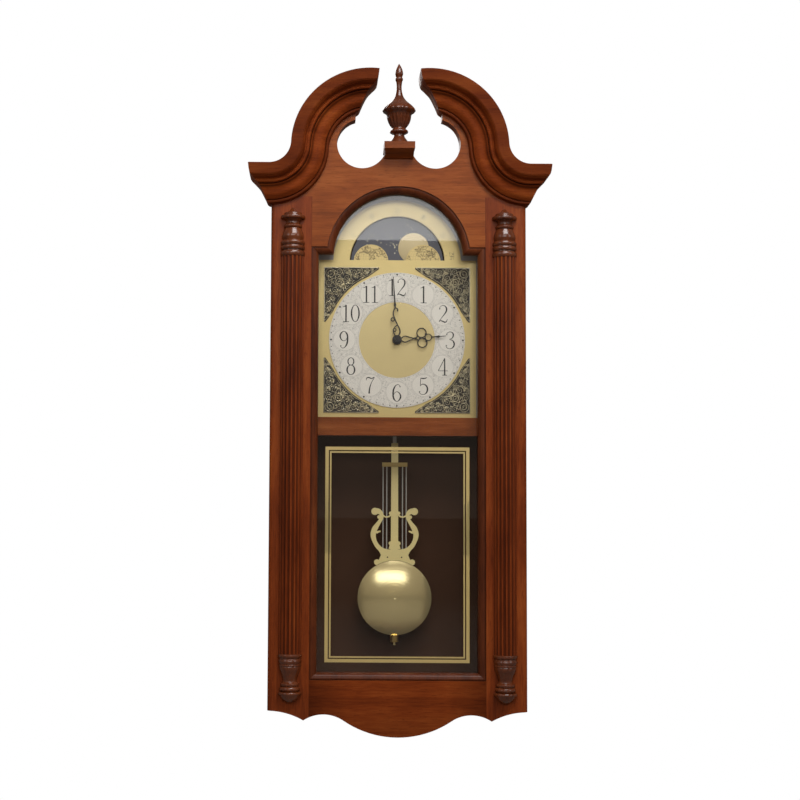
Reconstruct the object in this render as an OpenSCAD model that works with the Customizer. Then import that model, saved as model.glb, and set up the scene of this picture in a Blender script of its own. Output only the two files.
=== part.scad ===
// Pendulum wall clock with a swan-neck pediment. The whole front is a door, hinged on the right.
// Inside this file x runs to the viewer's right, y back from the front face of the door frame,
// and z up from the lowest point of the apron. placed() then moves the origin to the hanging hole.

/* [Front frame] */
// Width of the front frame across the stiles
front_w = 334; // [330:1:340]
// Thickness of the front boards
front_t = 20; // [19:0.5:22]
// Width of the glazed opening at the face, outside its moulding
opening_w = 227; // [224:1:228]
// Width of the ovolo moulding round the opening
sight_w = 9.3; // [8.5:0.1:10]
// Height of the opening's bottom edge
opening_bottom = 72; // [70:1:76]
// Height of the shoulders beside the arch
shoulder_z = 634; // [632:1:636]
// Radius of the arch at the face, outside its moulding
arch_r = 94.2; // [92:0.1:96]
// Height of the centre of the arch
arch_z = 620.2; // [619:0.1:622]

/* [Pediment] */
// Width of the swan-neck moulding, measured along the face
neck_w = 49.5; // [48:0.5:51]
// How far the swan-neck moulding stands out from the face
neck_proj = 30; // [28:0.5:31]
// Radius of the upper bend, at its top edge
neck_r = 103; // [102:0.5:104]
// Radius of the lower bend, at its top edge
wing_r = 28.5; // [27:0.5:30]
// Radius of the two round cut-outs beside the finial
scroll_r = 33; // [31:0.5:34]

/* [Columns] */
// Distance of each column's centre line from the middle
column_x = 138.4; // [137:0.1:140]
// Radius of the half-round shafts
column_r = 15; // [14:0.5:15.5]

/* [Case] */
// Width of the case behind the front frame
case_w = 316; // [314:1:318]
// Distance from the front face to the wall
wall_y = 116; // [116:1:120]
// Thickness of the case boards
board_t = 12; // [10:1:14]

/* [Dial] */
// Height of the hands' centre
dial_z = 515; // [514:1:516]
// Outer radius of the chapter ring
ring_r = 90; // [88:1:91]
// Length of the minute hand
minute_len = 84; // [78:1:86]
// Length of the hour hand
hour_len = 65; // [60:1:68]

/* [Pendulum] */
// Height of the pendulum's pivot
pivot_z = 448; // [446:1:452]
// Diameter of the bob
bob_d = 99; // [94:1:102]
// Height of the bob's centre
bob_z = 172.5; // [170:0.5:178]

/* [Hidden] */
$fn = 48;
eps = 0.01;
wood = "#8c4a26";
dark_wood = "#5a2a17";
brass = "#c8a75a";
silver = "#c4c2bc";
black = "#1c1b1a";

// Origin: the round hole of the hanger, on its wall side
hang_y = wall_y - 2;
hang_z = 690;

// Front frame
half_w = front_w / 2;
half_open = opening_w / 2;
sight_x = half_open - sight_w;
sight_t = 12;          // depth of the sight moulding
stile_top = 700;
stile_round = 5;       // roundover on the stile's outer edge
corner_z = 33;         // apron height at the stiles' outer edges
cusp_x = 120.7;        // pointed cusps of the apron
crest_x = 95;          // crests of the apron's two small humps
crest_z = 28.7;
belly_r = 125;         // radius of the apron's middle
crest_sum = (crest_x * crest_x + crest_z * crest_z) / (2 * crest_z);   // tangent arcs: sum of the radii
crest_r = crest_sum - belly_r;
tangent_a = atan(crest_x / (belly_r + crest_r - crest_z));
shoulder_r = 95;       // radius from the cusp out to the corner

// Pediment
inner_r = neck_r - neck_w;            // upper bend, bottom edge
outer_r = wing_r + neck_w;            // lower bend, bottom edge
neck_centre = [-38.5, 760.9];
wing_dz = 6.3;                        // the lower bend's centre is this much higher
wing_centre = neck_centre + [-sqrt(pow(neck_r + wing_r, 2) - pow(wing_dz, 2)), wing_dz];
junction_a = atan(wing_dz / (neck_centre[0] - wing_centre[0]));
neck_end_x = -57;                     // sawn end of the board and moulding, beside the finial
wing_z = wing_centre[1] - outer_r;    // bottom edge of the wing
scroll_x = 48.2;
scroll_z = 771;
pedestal_z = 760;                     // top of the board under the finial block
block_h = 9;
block_half = 20;
block_front = -22;

// Columns
shaft_bottom = 106;
shaft_top = 620;

// Case
case_half = case_w / 2;
case_front = front_t + 1;
case_bottom_z = 45;
case_top_z = 728;
inner_half = case_half - board_t;
back_y = wall_y - 10;                 // front of the back panel
back_t = 6;
rail_z = 388;                         // underside of the dial rail
rail_h = 24;
access_half = 60;
access_z = [440, 600];

// Hinges
hinge_x = case_half + 3.5;
hinge_y = front_t + 0.5;
knuckle_r = 3;
hinge_pin_r = 1.4;
running_fit = 0.05;
hinge_h = 60;
hinge_zs = [110, 600];
leaf_t = 1.2;
catch_z = [358, 386];                 // lowest and highest point of the magnet

// Dial
dial_y = 33.5;                        // front of the dial plate
dial_t = 2;
dial_half = 118;
dial_bottom = rail_z + rail_h + 0.3;
dial_arch_r = 92;
moon_z = 617.5;
sky_r = 63.2;
sky_flat = 621.7;
hump_x = 34.7;
hump_r = 23;
ring_in = 50.5;
spandrel_half = 97;
spandrel_tip = 24;
movement_y = [38, 70];
movement_half = 38;
movement_z = [438, 566];
arbor_r = 1.8;
pipe_r = 2.6;
bush_r = 4.5;
moon_pin_r = 2;

// Pendulum
pend_y = 80;
strip_t = 1.6;
crossbar_z = 351;
lyre_bottom = 217;
strip_front = pend_y - strip_t / 2 - 1.4;   // front of the brass rod
bob_r = bob_d / 2;
rod_bottom = bob_z - bob_r - 0.4;             // brass strip ends level with the bob
nut_z = rod_bottom - 4.6;

mitre_gap = 0.05;      // joints between the lengths of one moulding
joint_a = 0.04;        // the same gap as an angle, at the middle of the swan neck

function arc(c, r, a0, a1, n) =
    [for (i = [0 : n]) let (a = a0 + (a1 - a0) * i / n) [c[0] + r * cos(a), c[1] + r * sin(a)]];
// Smooth curve through points (Catmull-Rom), n steps between neighbours
function knot(p, i) = p[min(max(i, 0), len(p) - 1)];
function smooth(p, n) = concat([for (i = [0 : len(p) - 2], j = [0 : n - 1]) let (t = j / n,
    a = knot(p, i - 1), b = p[i], c = p[i + 1], d = knot(p, i + 2))
    0.5 * (2 * b + (c - a) * t + (2 * a - 5 * b + 4 * c - d) * t * t + (3 * b - a - 3 * c + d) * t * t * t)],
    [p[len(p) - 1]]);
// Half-round bead on a turned profile, from height z0 to z1, standing b proud of radius r
function bead(r, z0, z1, b) =
    [for (i = [0 : 8]) let (a = i * 22.5) [r + b * sin(a), z0 + (z1 - z0) * (1 - cos(a)) / 2]];
function mirrored(p) = [for (q = p) [-q[0], q[1]]];

module placed() translate([0, -hang_y, -hang_z]) children();
// A flat outline in x and z, extruded from y0 back to y1
module slab(y0, y1) translate([0, y1, 0]) rotate([90, 0, 0]) linear_extrude(y1 - y0) children();
// A profile of radius and height turned about the y axis, its height running towards the front from y0
module turned_y(x, y0, z) translate([x, y0, z]) rotate([90, 0, 0]) rotate_extrude() children();
module rod_y(x, z, y0, y1, r) translate([x, y1, z]) rotate([90, 0, 0]) cylinder(h = y1 - y0, r = r);
module block(x0, x1, y0, y1, z0, z1) translate([x0, y0, z0]) cube([x1 - x0, y1 - y0, z1 - z0]);
module both_sides() {
    children();
    mirror([1, 0, 0]) children();
}

// ---- front boards ----
// Lower edge of the front, from the left corner to the right one
half_apron = concat(
    arc([-half_w, corner_z - shoulder_r], shoulder_r, 90, 90 - asin((half_w - cusp_x) / shoulder_r), 12),
    arc([-crest_x, crest_z - crest_r], crest_r, 90 + asin((cusp_x - crest_x) / crest_r), 90 - tangent_a, 16),
    [for (p = arc([0, belly_r], belly_r, -90 - tangent_a, -90, 10)) if (p[0] > -69) p]);
apron_edge = concat(half_apron, [for (i = [len(half_apron) - 2 : -1 : 0]) mirrored(half_apron)[i]]);

module front_outline(top) polygon(concat(apron_edge, [[half_w, top], [-half_w, top]]));

module opening_outline() {
    translate([-half_open, opening_bottom]) square([opening_w, shoulder_z - opening_bottom]);
    intersection() {
        translate([0, arch_z]) circle(arch_r, $fn = 96);
        translate([-arch_r, arch_z]) square([2 * arch_r, arch_r + 1]);
    }
}

module stile_section() {
    translate([half_open, 0]) square([half_w - half_open - stile_round, front_t]);
    translate([half_w - stile_round - eps, stile_round]) square([stile_round + eps, front_t - stile_round]);
    translate([half_w - stile_round, stile_round]) circle(stile_round);
}

module stile() intersection() {
    linear_extrude(stile_top) stile_section();
    slab(-1, front_t + 1) front_outline(stile_top);
}

module left_stile() color(wood) placed() difference() {
    mirror([1, 0, 0]) stile();
    block(-half_open - 30, -half_open - 5, front_t - 3, front_t + 1, catch_z[0] - 3, catch_z[1] + 3);
}

module right_stile() color(wood) placed() difference() {
    stile();
    for (z = hinge_zs) {
        translate([hinge_x, hinge_y, z - 3]) cylinder(h = hinge_h + 6, r = knuckle_r + 0.6);
        block(half_open + 18, hinge_x + eps, front_t - leaf_t, front_t + 1, z - 0.5, z + hinge_h + 0.5);
    }
}

module apron_rail() color(wood) placed() intersection() {
    slab(0, front_t) front_outline(opening_bottom);
    block(-half_open, half_open, -1, front_t + 1, -1, opening_bottom);
}

// Crown profile: distance up from the bottom edge, projection from the face
crown = concat([[0, 0], [0, 3.2]], arc([2.6, 3.4], 2.6, 170, 40, 5), [[5, 4.6], [5.6, 6.6]],
    [for (i = [0 : 12]) let (t = i / 12) [6.2 + 17.6 * t, 7 + 9 * (t + 0.8 * sin(360 * t) / 6.28)]],
    [[24.2, 14], [25.4, 14.4]], arc([27.6, 17.8], 2.3, 190, 30, 6),
    [[30.6, 19.4], [31.2, 21.6], [32.2, 25.2], [33.8, 27.8], [35.6, 28.8], [neck_w - 0.6, neck_proj],
    [neck_w, neck_proj - 0.6], [neck_w, 0]]);
// Point of the neck's face at x, r from the upper bend's centre
function neck_point(x, r) = [x, neck_centre[1] + sqrt(r * r - pow(x - neck_centre[0], 2))];
// The sawn end is one long S from the bottom edge up to the foremost point: distance up, distance in
end_shape = smooth([[0, 0], [2, 4.5], [8, 7.5], [15, 11], [23, 15.5], [30, 22], [37, 28],
    [neck_w - 0.6, neck_proj]], 3);
end_curve = [for (p = end_shape) neck_point(neck_end_x + p[1], inner_r + p[0])];
end_last = len(end_curve) - 1;
end_top = end_curve[end_last];

// The board follows the moulding's top edge, one millimetre inside it, and is sawn off like the moulding
board_r = neck_r - 1;
board_end = [for (i = [end_last - 1 : -1 : 0]) end_curve[i]];
board_top = concat(
    [[-half_w + 1, stile_top], [-half_w + 1, wing_centre[1] - wing_r - 1]],
    [for (p = arc(wing_centre, wing_r + 1, -90, -junction_a, 10)) if (p[0] > -half_w + 1) p],
    arc(neck_centre, board_r, 180 - junction_a, 90 + asin((neck_centre[0] - end_top[0]) / board_r), 28),
    board_end);

module pediment_board() color(wood) placed() slab(0, front_t) difference() {
    polygon(concat(board_top, [[neck_end_x, scroll_z], [-neck_end_x, scroll_z]],
        [for (i = [len(board_top) - 1 : -1 : 0]) mirrored(board_top)[i]],
        [[half_open, stile_top], [half_open, shoulder_z], [-half_open, shoulder_z],
        [-half_open, stile_top]]));
    both_sides_2d() translate([scroll_x, scroll_z]) circle(scroll_r, $fn = 96);
    translate([-scroll_x, pedestal_z]) square([2 * scroll_x, 30]);
    translate([0, arch_z]) circle(arch_r, $fn = 96);
}

module both_sides_2d() {
    children();
    mirror([1, 0]) children();
}

// ---- opening moulding ----
// Distance out from the sight edge, depth from the face; the quirk is a narrow groove at the outer edge
ovolo = [for (a = [0 : 10 : 90]) [(sight_w - 1.5) * (1 - cos(a)), 8.6 - 7.4 * sin(a)]];
sight_profile = concat([[0, sight_t]], ovolo, [[sight_w - 1.5, 2.6], [sight_w, 2.6], [sight_w, sight_t]]);

module sight_side() intersection() {
    translate([0, 0, opening_bottom]) linear_extrude(shoulder_z - opening_bottom)
        polygon([for (p = sight_profile) [sight_x + p[0], p[1]]]);
    slab(-1, sight_t + 1) polygon([[half_open, opening_bottom + mitre_gap],
        [sight_x, opening_bottom + sight_w + mitre_gap], [sight_x, shoulder_z - sight_w - mitre_gap],
        [half_open, shoulder_z - mitre_gap]]);
}

module sight_bottom() intersection() {
    translate([half_open, 0, opening_bottom + sight_w]) rotate([90, 0, -90]) linear_extrude(opening_w)
        polygon([for (p = sight_profile) [-p[1], -p[0]]]);
    slab(-1, sight_t + 1) polygon([[-half_open, opening_bottom], [half_open, opening_bottom],
        [sight_x, opening_bottom + sight_w], [-sight_x, opening_bottom + sight_w]]);
}

// Where the arch meets its shoulders: inner and outer ends of the mitre
arch_mitre = [[sqrt(pow(arch_r - sight_w, 2) - pow(shoulder_z - sight_w - arch_z, 2)), shoulder_z - sight_w],
    [sqrt(arch_r * arch_r - pow(shoulder_z - arch_z, 2)), shoulder_z]];

module sight_shoulder() intersection() {
    translate([0, 0, shoulder_z - sight_w]) rotate([90, 0, 90]) linear_extrude(half_open)
        polygon([for (p = sight_profile) [p[1], p[0]]]);
    slab(-1, sight_t + 1) polygon([[half_open, shoulder_z], [sight_x, shoulder_z - sight_w],
        arch_mitre[0] + [mitre_gap, 0], arch_mitre[1] + [mitre_gap, 0]]);
}

module sight_arch() intersection() {
    translate([0, 0, arch_z]) rotate([90, 0, 0]) rotate_extrude(angle = 180, $fn = 120)
        polygon([for (p = sight_profile) [arch_r - sight_w + p[0], -p[1]]]);
    slab(-1, sight_t + 1) polygon([arch_mitre[0] * 2 - arch_mitre[1], arch_mitre[1] * 2 - arch_mitre[0],
        [arch_r + 20, shoulder_z + 90], [-arch_r - 20, shoulder_z + 90],
        mirrored([arch_mitre[1] * 2 - arch_mitre[0]])[0], mirrored([arch_mitre[0] * 2 - arch_mitre[1]])[0]]);
}

module sight_moulding() color(dark_wood) placed() {
    both_sides() {
        sight_side();
        sight_shoulder();
    }
    sight_bottom();
    sight_arch();
}

module glass_outline(gap) {
    translate([-half_open + gap, opening_bottom + gap])
        square([opening_w - 2 * gap, shoulder_z - opening_bottom - 2 * gap]);
    translate([0, arch_z]) circle(arch_r - gap, $fn = 96);
}

module door_glass() color("#b8c4c4", 0.35) placed() slab(sight_t + 0.2, sight_t + 2.7) glass_outline(0.5);

module glass_retainers() color(dark_wood) placed() slab(sight_t + 2.9, front_t - 0.5) difference() {
    glass_outline(0.4);
    glass_outline(7);
}

// ---- columns ----
module column() translate([column_x, 0, shaft_bottom]) linear_extrude(shaft_top - shaft_bottom) difference() {
    intersection() {
        circle(column_r);
        translate([-column_r, -column_r]) square([2 * column_r, column_r]);
    }
    for (a = [-167 : 22 : -13]) rotate(a) translate([column_r + 0.5, 0]) circle(2.1, $fn = 24);
}

module left_column() color(wood) placed() mirror([1, 0, 0]) column();
module right_column() color(wood) placed() column();

module half_turned(profile) translate([column_x, 0, 0]) rotate([0, 0, 180]) rotate_extrude(angle = 180)
    polygon(profile);

capital = concat([[0, shaft_top]], bead(14.6, 620, 627, 1.6), [[13.6, 627.4], [13.6, 628.6]],
    bead(14.2, 628.6, 634.2, 1.9), bead(14.2, 634.8, 640.4, 1.9),
    smooth([[13.4, 641.2], [14.5, 646], [13.6, 651], [11.2, 656.6]], 5),
    bead(10.4, 657.6, 662, 1.8), smooth([[9.6, 663.2], [9.4, 666.2], [12.4, 668.8]], 4),
    bead(15.4, 669.6, 673.8, 0.9), [[12.2, 674.8], [11.6, 677.4]],
    smooth([[8.6, 678], [5.6, 680.4], [2.4, 683.4], [0, 685.4]], 4));
base = concat(smooth([[0, 42], [6, 44.4], [11, 48.4], [14.2, 53.4]], 5), bead(14.6, 54, 57.4, 0.9),
    smooth([[11.4, 58], [13.7, 60.6], [13, 63.4], [11, 64.6]], 4), bead(11.2, 65.2, 69.2, 1.4),
    smooth([[9.6, 70.4], [9.4, 73], [11.2, 79], [14, 86.2], [14.4, 89.6]], 5), bead(14.2, 90.4, 93, 0.9),
    smooth([[14.5, 93.6], [15.4, 97], [14, 100.6]], 4), bead(14.4, 101.2, 106, 1.6), [[0, shaft_bottom]]);

module column_capitals() color(dark_wood) placed() both_sides() half_turned(capital);
module column_bases() color(dark_wood) placed() both_sides() half_turned(base);

// ---- swan necks ----
module neck_upper() intersection() {
    translate([neck_centre[0], 0, neck_centre[1]]) rotate([90, 0, 0]) rotate([0, 0, 80])
        rotate_extrude(angle = 100 - junction_a, $fn = 120)
            polygon([for (p = crown) [inner_r + p[0], p[1]]]);
    slab(-neck_proj - 1, 1)
        polygon(concat(end_curve, [[end_top[0], 880], [-170, 880], [-170, 740], [neck_end_x, 740]]));
}
module neck_lower() translate([wing_centre[0], 0, wing_centre[1]]) rotate([90, 0, 0]) rotate([0, 0, 270])
    rotate_extrude(angle = 90 - junction_a - joint_a, $fn = 120)
        polygon([for (p = crown) [outer_r - p[0], p[1]]]);
// The outer end of each wing has the same S outline as the sawn end
wing_end = [for (p = concat(end_shape, [[neck_w, neck_proj - 0.6]])) [-half_w - p[1], wing_z + p[0]]];
module wing_outline(inside) polygon(concat(wing_end, [[inside, wing_z + neck_w], [inside, wing_z]]));
module neck_wing() intersection() {
    translate([-half_w - neck_proj - 2, 0, wing_z]) rotate([90, 0, 90])
        linear_extrude(wing_centre[0] - mitre_gap + half_w + neck_proj + 2)
            polygon([for (p = crown) [-p[1], p[0]]]);
    slab(-neck_proj - 1, 1) wing_outline(wing_centre[0] + 5);
}
module swan_neck() {
    neck_upper();
    neck_lower();
    neck_wing();
    slab(mitre_gap, front_t) wing_outline(-half_w);
}
module left_swan_neck() color(wood) placed() swan_neck();
module right_swan_neck() color(wood) placed() mirror([1, 0, 0]) swan_neck();

// ---- finial ----
// The block stands out from the board, and its underside slopes back to the face
module finial_block() color(wood) placed() {
    block(-block_half, block_half, block_front, front_t, pedestal_z, pedestal_z + block_h);
    translate([-block_half + 1, 0, 0]) rotate([90, 0, 90]) linear_extrude(2 * block_half - 2)
        polygon([[block_front + 2, pedestal_z + eps], [-4, pedestal_z - block_h], [0, pedestal_z - block_h],
            [0, pedestal_z + eps]]);
}

finial_base = pedestal_z + block_h;
finial_profile = concat([[0, 0], [13.4, 0]], smooth([[13.4, 1.2], [11.4, 5], [8, 9.6], [7.1, 12.6]], 4),
    bead(9.4, 14.4, 20, 2.8), smooth([[8.8, 21.6], [10.6, 24], [14, 28.4], [16, 34.4], [16.6, 40.4]], 5),
    [[21.4, 43.6]], bead(21.6, 44, 47.2, 0.9), smooth([[20.6, 48.4], [16.4, 52.6], [10.8, 57.4], [6.2, 63.4],
    [3.8, 71], [3.4, 78], [4.4, 84.6]], 5), bead(4.4, 85.6, 89.4, 0.8),
    smooth([[4, 90.4], [5.3, 94.6], [4.4, 99.6], [2, 104.6], [0, 109]], 5));
module finial() color(dark_wood) placed() translate([0, -1, finial_base])
    rotate_extrude() polygon(finial_profile);

// ---- hinges and catch ----
module knuckle(z, h, bore) translate([hinge_x, hinge_y, z]) difference() {
    cylinder(h = h, r = knuckle_r);
    translate([0, 0, -1]) cylinder(h = h + 2, r = bore);
}

module hinge_leaves_door() color(brass) placed() for (z = hinge_zs) {
    difference() {
        union() {
            block(half_open + 19, hinge_x - 1, front_t - leaf_t, front_t, z + 20.4, z + 39.6);
            block(half_open + 19, hinge_x - 4.5, front_t - leaf_t, front_t, z, z + hinge_h);
            translate([hinge_x, hinge_y, z + 20.4]) cylinder(h = 19.2, r = knuckle_r);
        }
        translate([hinge_x, hinge_y, z - 1]) cylinder(h = hinge_h + 2, r = hinge_pin_r + running_fit);
    }
}

module hinge_leaves_case() color(brass) placed() for (z = hinge_zs, k = [z, z + 40]) difference() {
    union() {
        translate([hinge_x, hinge_y, k]) cylinder(h = 20, r = knuckle_r);
        block(case_half + 0.1, case_half + 0.1 + leaf_t, hinge_y, hinge_y + 24, k, k + 20);
    }
    translate([hinge_x, hinge_y, k - 1]) cylinder(h = 22, r = hinge_pin_r + running_fit);
}

module hinge_pins() color(brass) placed() for (z = hinge_zs) translate([hinge_x, hinge_y, z - 0.2]) {
    cylinder(h = hinge_h + 0.4, r = hinge_pin_r);
    for (k = [-1.4, hinge_h + 0.4]) translate([0, 0, k]) cylinder(h = 1.4, r = 2.4);
}

module catch_magnet() color("#3a3a3a") placed()
    block(-inner_half, -inner_half + 14, case_front + 0.4, case_front + 14, catch_z[0], catch_z[1]);
module strike_plate() color(silver) placed()
    block(-half_open - 29.5, -half_open - 5.5, front_t - 1.5, front_t - 0.2, catch_z[0] - 2, catch_z[1] + 2);

// ---- case ----
module side_panel() block(inner_half, case_half, case_front, wall_y, case_bottom_z, case_top_z);
module left_side_panel() color(dark_wood) placed() mirror([1, 0, 0]) side_panel();
module right_side_panel() color(dark_wood) placed() side_panel();
module case_top() color(dark_wood) placed()
    block(-inner_half, inner_half, case_front, back_y + back_t, case_top_z - board_t, case_top_z);
module case_bottom() color(dark_wood) placed()
    block(-inner_half, inner_half, case_front, back_y + back_t, case_bottom_z, case_bottom_z + board_t);

module keyhole(r, slot_r, rise) {
    translate([0, hang_z]) circle(r);
    translate([-slot_r, hang_z]) square([2 * slot_r, rise]);
    translate([0, hang_z + rise]) circle(slot_r);
}

module back_panel() color("#4a3222") placed() difference() {
    block(-inner_half, inner_half, back_y, back_y + back_t, case_bottom_z + board_t, case_top_z - board_t);
    block(-access_half, access_half, back_y - 1, wall_y, access_z[0], access_z[1]);
    slab(back_y - 1, wall_y) translate([-10, hang_z - 10]) square([20, 24]);
}

hanger_screw_x = 28;
module hanger_plate() color(silver) placed() slab(back_y + back_t, hang_y) difference() {
    translate([-36, hang_z - 12]) square([72, 32]);
    keyhole(4.75, 2.3, 9);
    both_sides_2d() translate([hanger_screw_x, hang_z + 4]) circle(1.8);
}

cover_screws = [for (x = [-65, 65], z = [access_z[0] + 20, access_z[1] - 20]) [x, z]];
module access_cover() color("#4a3222") placed() slab(back_y + back_t, wall_y - 1) difference() {
    translate([-access_half - 10, access_z[0] - 10])
        square([2 * access_half + 20, access_z[1] - access_z[0] + 20]);
    for (p = cover_screws) translate(p) circle(1.8);
    for (i = [-3 : 3]) translate([i * 14 - 2, 555]) square([4, 30]);
}

module screw_y(x, z, y0, y1, r, head_r, head_h) {
    rod_y(x, z, y0, y1 + head_h / 2, r);
    rod_y(x, z, y1, y1 + head_h, head_r);
}

module case_screws() color(brass) placed() {
    for (p = cover_screws) screw_y(p[0], p[1], back_y + back_t, wall_y - 1, 1.7, 3.2, 0.9);
    for (x = [-hanger_screw_x, hanger_screw_x])
        screw_y(x, hang_z + 4, back_y + back_t, hang_y, 1.7, 3.4, 1.4);
}

module dial_battens() color(dark_wood) placed() both_sides()
    block(104, inner_half, dial_y + dial_t, 50, rail_z + rail_h, case_top_z - board_t);
module dial_rail() color(wood) placed()
    block(-inner_half, inner_half, 28, 50, rail_z, rail_z + rail_h);

speaker_z = 660;
module speaker() color(black) placed() turned_y(0, back_y, speaker_z) polygon([[0, 2], [14, 2], [14, 12],
    [20, 13], [36, 0], [40, 0], [40, 2], [37, 2.4], [21, 15], [14, 14.4], [0, 14.4]]);

// ---- dial ----
module dial_outline() {
    translate([-dial_half, dial_bottom]) square([2 * dial_half, 630 - dial_bottom]);
    translate([0, moon_z]) circle(dial_arch_r, $fn = 96);
}

module moon_window() difference() {
    intersection() {
        translate([0, moon_z]) circle(sky_r, $fn = 96);
        translate([-sky_r, sky_flat]) square([2 * sky_r, sky_r]);
    }
    for (x = [-hump_x, hump_x]) translate([x, sky_flat - 2]) circle(hump_r);
}

dial_screw_places = [for (x = [-111, 111], z = [430, 600]) [x, z]];
module dial_plate() color(brass) placed() slab(dial_y, dial_y + dial_t) difference() {
    dial_outline();
    moon_window();
    translate([0, dial_z]) circle(bush_r + 0.3);
    for (p = dial_screw_places) translate(p) circle(1.6);
}
module dial_screws() color(brass) placed() for (p = dial_screw_places) {
    rod_y(p[0], p[1], dial_y - eps, dial_y + dial_t, 1.5);
    rod_y(p[0], p[1], dial_y - 1.2, dial_y, 3);
}
module chapter_ring() color(silver) placed() slab(dial_y - 0.9, dial_y) translate([0, dial_z]) difference() {
    circle(ring_r, $fn = 96);
    circle(ring_in, $fn = 96);
}
module centre_disc() color(brass) placed() slab(dial_y - 0.6, dial_y) translate([0, dial_z]) difference() {
    circle(ring_in - 0.1, $fn = 96);
    circle(bush_r + 0.3);
}
module spandrels() color("#9a8a5c") placed() slab(dial_y - 0.8, dial_y) translate([0, dial_z])
    for (a = [0 : 90 : 270]) rotate(a) difference() {
        translate([spandrel_tip, spandrel_tip]) square(spandrel_half - spandrel_tip);
        circle(ring_r + 3, $fn = 96);
        for (turn = [[0, 1], [1, 0]])           // both tips taper to a point
            polygon([for (p = [[spandrel_tip - 1, 85], [spandrel_tip - 1, 95.5], [spandrel_tip + 14, 85]])
                [p[turn[0]], p[turn[1]]]]);
    }

// ---- movement ----
battery_x = 28;
selector_z = 556;
volume_z = 552;
module movement_case() color(black) placed() difference() {
    union() {
        block(-movement_half, movement_half, movement_y[0], movement_y[1], movement_z[0], movement_z[1]);
        rod_y(0, dial_z, dial_y - 2.4, movement_y[0] + 1, bush_r);
        block(-9, 9, movement_y[0] + 2, movement_y[0] + 8, movement_z[1] - 1, moon_z + 9);
        rod_y(0, pivot_z, movement_y[1] - 1, pend_y + 5, 1.5);
        rod_y(0, pivot_z, pend_y + 3, pend_y + 5, 3.2);
        rod_y(0, pivot_z, movement_y[1] - 1, pend_y - 4, 3.6);
    }
    rod_y(0, dial_z, dial_y - 4, movement_y[1] + 1, pipe_r + running_fit);
    rod_y(0, moon_z, movement_y[0], movement_y[0] + 12, moon_pin_r + running_fit);
    for (x = [-battery_x, battery_x]) block(x - 7.6, x + 7.6, 54, movement_y[1] + 1, 460, 512.5);
    block(10, 26, movement_y[1] - 4, movement_y[1] + 1, selector_z - 2.4, selector_z + 2.4);
    rod_y(-20, volume_z, movement_y[1] - 6, movement_y[1] + 1, 1.5 + running_fit);
}
module movement_nut() color(brass) placed() slab(dial_y - 2.2, dial_y - 0.6)
    translate([0, dial_z]) difference() {
        circle(7, $fn = 6);
        circle(bush_r);
    }
module batteries() color("#b8862c") placed() for (x = [-battery_x, battery_x]) translate([x, 62, 461])
    union() {
        cylinder(h = 49, r = 7.1);
        translate([0, 0, 49 - eps]) cylinder(h = 1.4, r = 2.6);
    }
module chime_selector() color("#d8d4c8") placed() {
    block(11, 15, movement_y[1] - 3.4, movement_y[1] + 3, selector_z - 2, selector_z + 2);
}
module volume_knob() color("#d8d4c8") placed() {
    rod_y(-20, volume_z, movement_y[1] - 5, movement_y[1] + 1.5, 1.5);
    difference() {
        rod_y(-20, volume_z, movement_y[1] + 0.6, movement_y[1] + 5, 7);
        for (a = [0 : 30 : 330]) rod_y(-20 + 7.4 * cos(a), volume_z + 7.4 * sin(a), movement_y[1],
            movement_y[1] + 6, 0.9);
    }
}

// ---- hands ----
hour_y = 29.6;
minute_y = 27.2;
hand_t = 0.8;
wire = 1.3;            // width of the hands' thin scrollwork
module ring(r, w) difference() {
    circle(r, $fn = 32);
    circle(r - w, $fn = 32);
}
// Slender tapering bar from a to b along x
module taper(a, b, w0, w1) polygon([[a, -w0 / 2], [b, -w1 / 2], [b, w1 / 2], [a, w0 / 2]]);
// Strip of width w along a curve
function side(p, w) = [for (i = [0 : len(p) - 1]) let (d = p[min(i + 1, len(p) - 1)] - p[max(i - 1, 0)])
    p[i] + w / 2 * [-d[1], d[0]] / norm(d)];
module ribbon(p, w) polygon(concat(side(p, w), [for (i = [len(p) - 1 : -1 : 0]) side(p, -w)[i]]));
module both_ways() {
    children();
    mirror([0, 1]) children();
}

// Teardrop beside the hub, two round loops with a third beyond them, and a fine spear
module hour_outline() difference() {
    offset(delta = eps) {
        circle(6.4);
        both_ways() ribbon(smooth([[5, 0.5], [8, 3.2], [11.5, 3.9], [17, 2], [24, 0], [28, 3.4]], 4), wire);
        both_ways() translate([33, 6.6]) ring(6.8, wire);
        translate([41.5, 0]) ring(5, wire);
        for (p = [[30.5, 0], [38.6, 4.6], [38.6, -4.6], [24, 0]]) translate(p) circle(1.5, $fn = 24);
        taper(45.6, hour_len, 1.6, 0.6);
        taper(50, 55, 1, 2.8);
        taper(55, 57.5, 2.8, 1);
    }
    circle(pipe_r + 0.02);
}
// Teardrop, an S-shaped stem with curls, and a long thin spear
module minute_outline() difference() {
    offset(delta = eps) {
        circle(5.6);
        ribbon(smooth([[4, -1], [9, -4.2], [14, -4], [20, -1.4], [28, 1.4], [34, 3], [39, 2], [42, -0.6],
            [40, -3.2], [37.4, -2.6]], 4), wire + 0.3);
        ribbon(smooth([[4, 1], [9, 4], [14, 4], [17.5, 1.4], [19, -1.6]], 4), wire);
        translate([13, 2.6]) ring(2.6, wire);
        translate([27, 4.2]) ring(2.9, wire);
        taper(41, minute_len, 2, 0.7);
        taper(43, 46, 1.4, 3.4);
        taper(46, 50, 3.4, 1.4);
    }
    circle(arbor_r + 0.02);
}

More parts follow.
